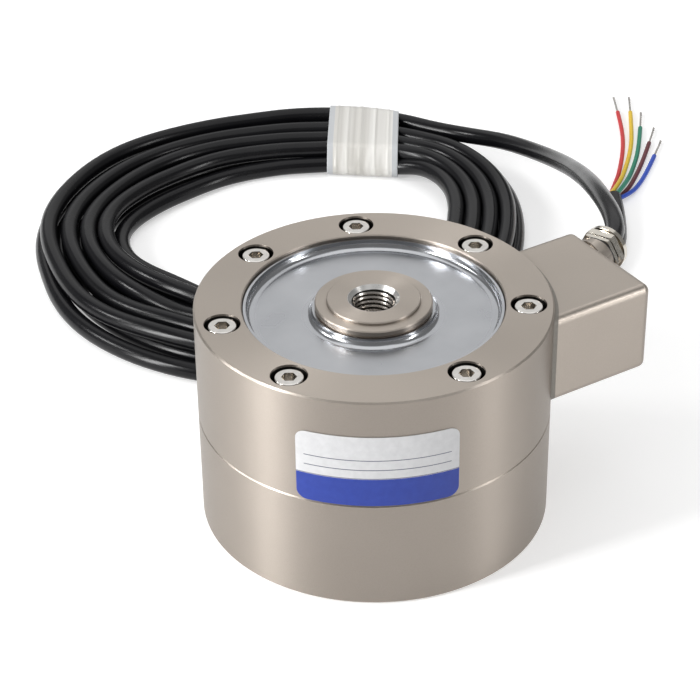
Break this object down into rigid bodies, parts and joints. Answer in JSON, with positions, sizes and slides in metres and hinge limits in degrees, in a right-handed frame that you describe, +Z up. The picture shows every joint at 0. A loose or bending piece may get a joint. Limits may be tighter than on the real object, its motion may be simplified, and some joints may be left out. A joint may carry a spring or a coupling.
{
  "type": "disk load cell",
  "caption": "Low-profile disk load cell: a steel ring cell with a central load thread bolted on a steel base, with a side junction box, a cable gland and a tied coil of cable with bare cores.",
  "frame": {"origin": "centre of the base's underside, at the mouth of the thread in the base", "axes": "+Z up along the load axis; +X from the load axis towards the junction box, whose cable gland points 25 degrees from +X towards +Y; the base rests on the plane Z = 0"},
  "size_m": [0.284, 0.2949, 0.0713],
  "materials": {
    "cell_steel": "fine-turned satin nickel",
    "diaphragm_steel": "satin with polished rolls",
    "screw_steel": "polished stainless",
    "gland_nickel": "bright nickel plate",
    "black_rubber": "matt",
    "jacket_black": "glossy",
    "tape_white": "translucent, creased",
    "label_film": "satin",
    "core_red": "satin",
    "core_yellow": "satin",
    "core_green": "satin",
    "core_brown": "satin",
    "core_blue": "satin",
    "tinned_copper": "stranded, tinned",
    "board_green": "matt",
    "gauge_foil": "matt"
  },
  "bodies": {
    "root": {"mounting_base": "cell_steel", "spring_element": "cell_steel", "upper_diaphragm": "diaphragm_steel", "lower_diaphragm": "diaphragm_steel", "body_screws": "screw_steel", "strain_gauges": "gauge_foil", "rating_label": "label_film", "junction_box": "cell_steel", "box_gasket": "black_rubber", "box_screws": "screw_steel", "box_cover": "cell_steel", "cover_screws": "screw_steel", "wire_grommet": "black_rubber", "terminal_board": "board_green", "terminal_posts": "tinned_copper", "inner_cores": "jacket_black", "gauge_wires": "tinned_copper", "gland_body": "gland_nickel", "gland_washer": "black_rubber", "gland_seal": "black_rubber", "gland_nut": "gland_nickel", "cable_lead": "jacket_black", "cable_coil": "jacket_black", "cable_tail": "jacket_black", "coil_tie": "tape_white", "core_red": "core_red", "conductor_red": "tinned_copper", "core_yellow": "core_yellow", "conductor_yellow": "tinned_copper", "core_green": "core_green", "conductor_green": "tinned_copper", "core_brown": "core_brown", "conductor_brown": "tinned_copper", "core_blue": "core_blue", "conductor_blue": "tinned_copper"}
  },
  "joints": []
}
